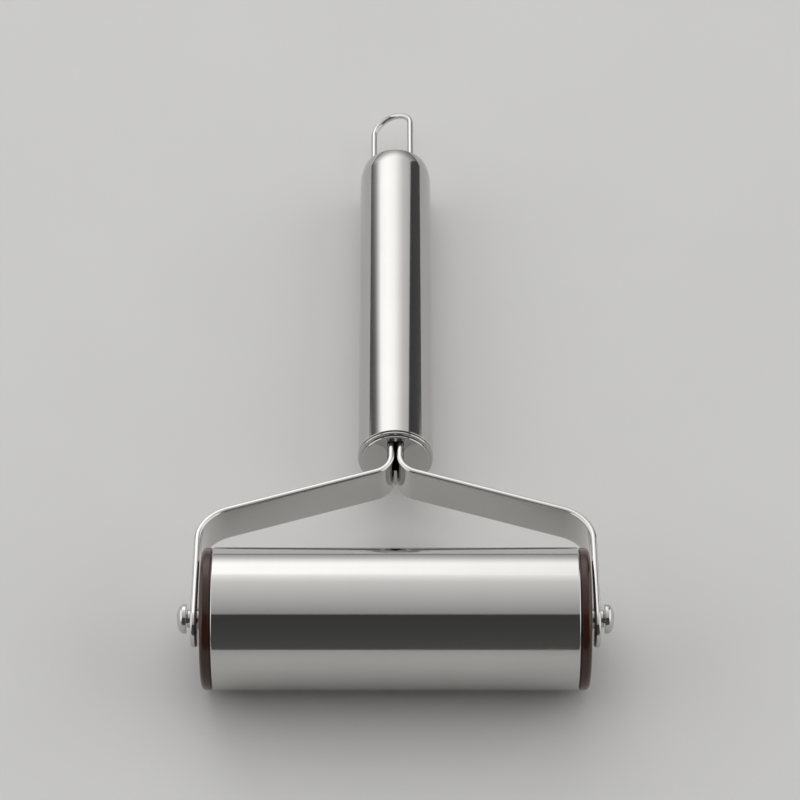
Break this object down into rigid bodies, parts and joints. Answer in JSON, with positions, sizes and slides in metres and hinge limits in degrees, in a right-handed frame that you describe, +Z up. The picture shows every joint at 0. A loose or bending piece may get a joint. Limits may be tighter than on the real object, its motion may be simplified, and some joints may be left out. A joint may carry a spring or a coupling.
{
  "type": "dough roller",
  "caption": "Hand dough roller: a polished steel sleeve with brown end caps spins on an axle between bent strip arms, on a tubular handle with a wire hanging loop.",
  "frame": {"origin": "middle of the bounding box at its bottom, on the surface that the tool lies on", "axes": "+X along the axle, +Y from the roller towards the hanging loop, +Z up"},
  "size_m": [0.1224, 0.2394, 0.04],
  "materials": {
    "polished_steel": "polished stainless steel with a faint grain round the tubes",
    "bright_steel": "bright cold-rolled stainless strip, wire and rod",
    "brown_plastic": "semi-gloss dark brown moulding"
  },
  "bodies": {
    "frame": {"handle_tube": "polished_steel", "handle_front_cap": "polished_steel", "handle_rear_cap": "polished_steel", "hanging_loop": "bright_steel", "fork_arm_left": "bright_steel", "fork_arm_right": "bright_steel"},
    "axle": {"axle_rod": "bright_steel", "axle_screw_left": "bright_steel", "axle_screw_right": "bright_steel"},
    "roller": {"roller_tube": "polished_steel", "roller_cap_left": "brown_plastic", "roller_cap_right": "brown_plastic"}
  },
  "joints": [
    {"name": "roller_spin", "type": "hinge", "parent": "frame", "child": "roller", "pos_m": [0, -0.09973, 0.01998], "axis": [1, 0, 0], "continuous": true},
    {"name": "axle_spin", "type": "hinge", "parent": "frame", "child": "axle", "pos_m": [0, -0.09973, 0.01998], "axis": [1, 0, 0], "continuous": true}
  ]
}
